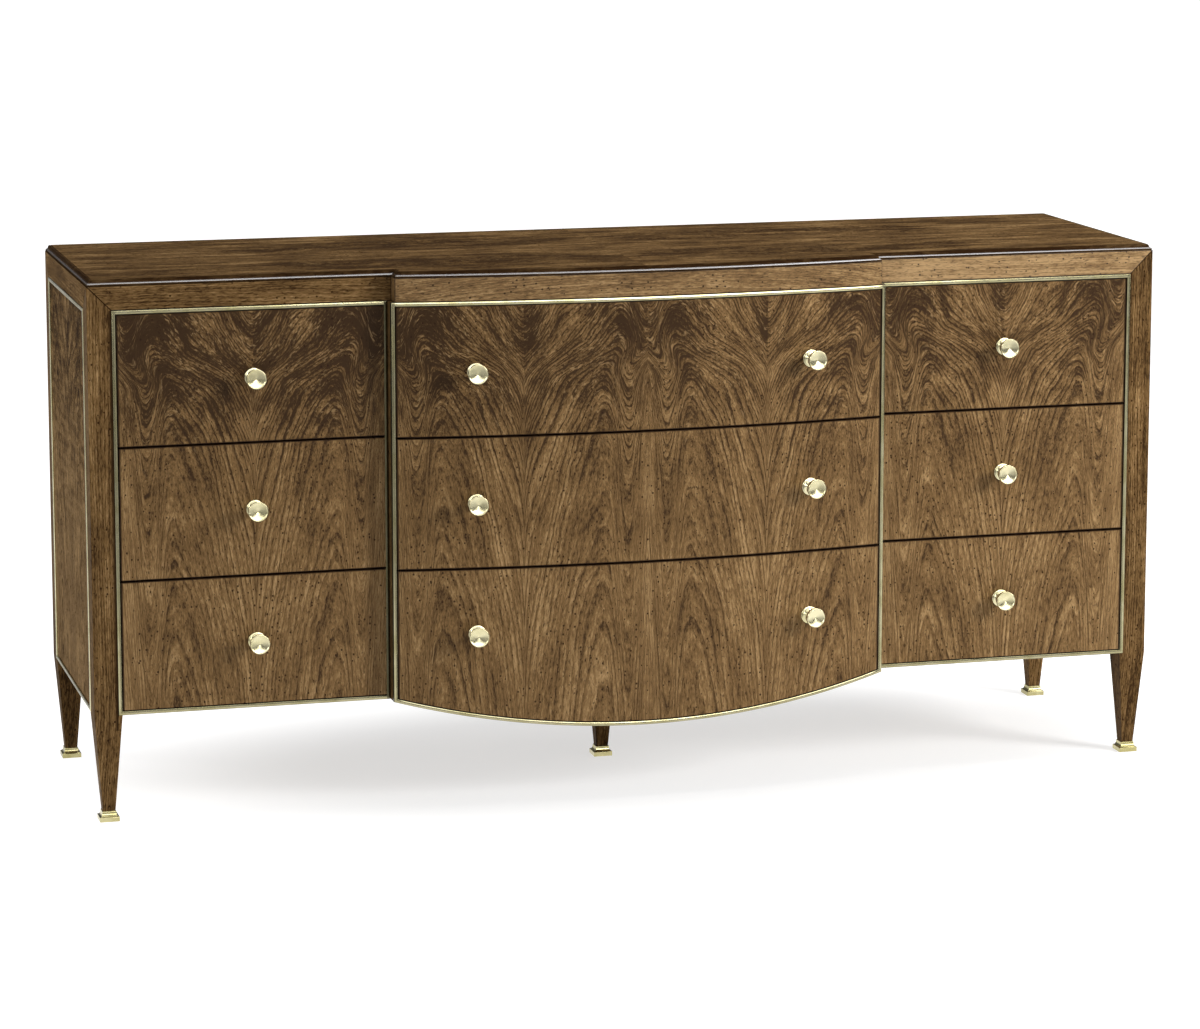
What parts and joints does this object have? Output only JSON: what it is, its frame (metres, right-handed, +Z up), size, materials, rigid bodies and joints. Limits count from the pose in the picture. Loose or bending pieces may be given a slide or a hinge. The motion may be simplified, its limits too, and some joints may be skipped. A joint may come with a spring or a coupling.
{
  "type": "dresser",
  "caption": "Wide bow-front dresser with flat wings, a bowed and arched centre, sliding drawers, brass beads, round knobs and tapered legs with ferrules.",
  "frame": {"origin": "on the floor under the middle of the overall box", "axes": "+X to the right seen from the front, the drawers open towards -Y, +Z up"},
  "size_m": [1.833, 0.5642, 0.892],
  "materials": {
    "walnut_front": "book-matched figured veneer, satin lacquer",
    "walnut_case": "straight-grained veneer, satin lacquer",
    "walnut_top": "figured veneer, satin lacquer",
    "plain_wood": "plain sanded hardwood",
    "brass": "satin, lightly aged"
  },
  "bodies": {
    "case": {"apron": "walnut_case", "back_panel": "plain_wood", "back_rail": "plain_wood", "brass_bead_center": "brass", "brass_bead_left": "brass", "brass_bead_right": "brass", "brass_bead_side_left": "brass", "brass_bead_side_right": "brass", "drawer_rails_center": "plain_wood", "drawer_rails_left": "plain_wood", "drawer_rails_right": "plain_wood", "ferrules": "brass", "floor_panel": "plain_wood", "frieze_center": "walnut_case", "frieze_left": "walnut_case", "frieze_right": "walnut_case", "leg_back_left": "walnut_case", "leg_back_right": "walnut_case", "leg_center": "walnut_case", "leg_front_left": "walnut_case", "leg_front_right": "walnut_case", "partition_left": "walnut_case", "partition_right": "walnut_case", "runners_center": "plain_wood", "runners_left": "plain_wood", "runners_right": "plain_wood", "side_panel_left": "walnut_case", "side_panel_right": "walnut_case", "side_rail_left": "walnut_case", "side_rail_right": "walnut_case", "top_cleats": "plain_wood", "top_panel": "walnut_top"},
    "drawer_left_bottom": {"drawer_left_bottom_box": "plain_wood", "drawer_left_bottom_front": "walnut_front", "drawer_left_bottom_knob": "brass"},
    "drawer_left_middle": {"drawer_left_middle_box": "plain_wood", "drawer_left_middle_front": "walnut_front", "drawer_left_middle_knob": "brass"},
    "drawer_left_top": {"drawer_left_top_box": "plain_wood", "drawer_left_top_front": "walnut_front", "drawer_left_top_knob": "brass"},
    "drawer_center_bottom": {"drawer_center_bottom_box": "plain_wood", "drawer_center_bottom_front": "walnut_front", "drawer_center_bottom_knobs": "brass"},
    "drawer_center_middle": {"drawer_center_middle_box": "plain_wood", "drawer_center_middle_front": "walnut_front", "drawer_center_middle_knobs": "brass"},
    "drawer_center_top": {"drawer_center_top_box": "plain_wood", "drawer_center_top_front": "walnut_front", "drawer_center_top_knobs": "brass"},
    "drawer_right_bottom": {"drawer_right_bottom_box": "plain_wood", "drawer_right_bottom_front": "walnut_front", "drawer_right_bottom_knob": "brass"},
    "drawer_right_middle": {"drawer_right_middle_box": "plain_wood", "drawer_right_middle_front": "walnut_front", "drawer_right_middle_knob": "brass"},
    "drawer_right_top": {"drawer_right_top_box": "plain_wood", "drawer_right_top_front": "walnut_front", "drawer_right_top_knob": "brass"}
  },
  "joints": [
    {"name": "drawer_left_bottom_slide", "type": "slide", "parent": "case", "child": "drawer_left_bottom", "axis": [0, -1, 0], "range_m": [0, 0.32]},
    {"name": "drawer_left_middle_slide", "type": "slide", "parent": "case", "child": "drawer_left_middle", "axis": [0, -1, 0], "range_m": [0, 0.32]},
    {"name": "drawer_left_top_slide", "type": "slide", "parent": "case", "child": "drawer_left_top", "axis": [0, -1, 0], "range_m": [0, 0.32]},
    {"name": "drawer_center_bottom_slide", "type": "slide", "parent": "case", "child": "drawer_center_bottom", "axis": [0, -1, 0], "range_m": [0, 0.32]},
    {"name": "drawer_center_middle_slide", "type": "slide", "parent": "case", "child": "drawer_center_middle", "axis": [0, -1, 0], "range_m": [0, 0.32]},
    {"name": "drawer_center_top_slide", "type": "slide", "parent": "case", "child": "drawer_center_top", "axis": [0, -1, 0], "range_m": [0, 0.32]},
    {"name": "drawer_right_bottom_slide", "type": "slide", "parent": "case", "child": "drawer_right_bottom", "axis": [0, -1, 0], "range_m": [0, 0.32]},
    {"name": "drawer_right_middle_slide", "type": "slide", "parent": "case", "child": "drawer_right_middle", "axis": [0, -1, 0], "range_m": [0, 0.32]},
    {"name": "drawer_right_top_slide", "type": "slide", "parent": "case", "child": "drawer_right_top", "axis": [0, -1, 0], "range_m": [0, 0.32]}
  ]
}
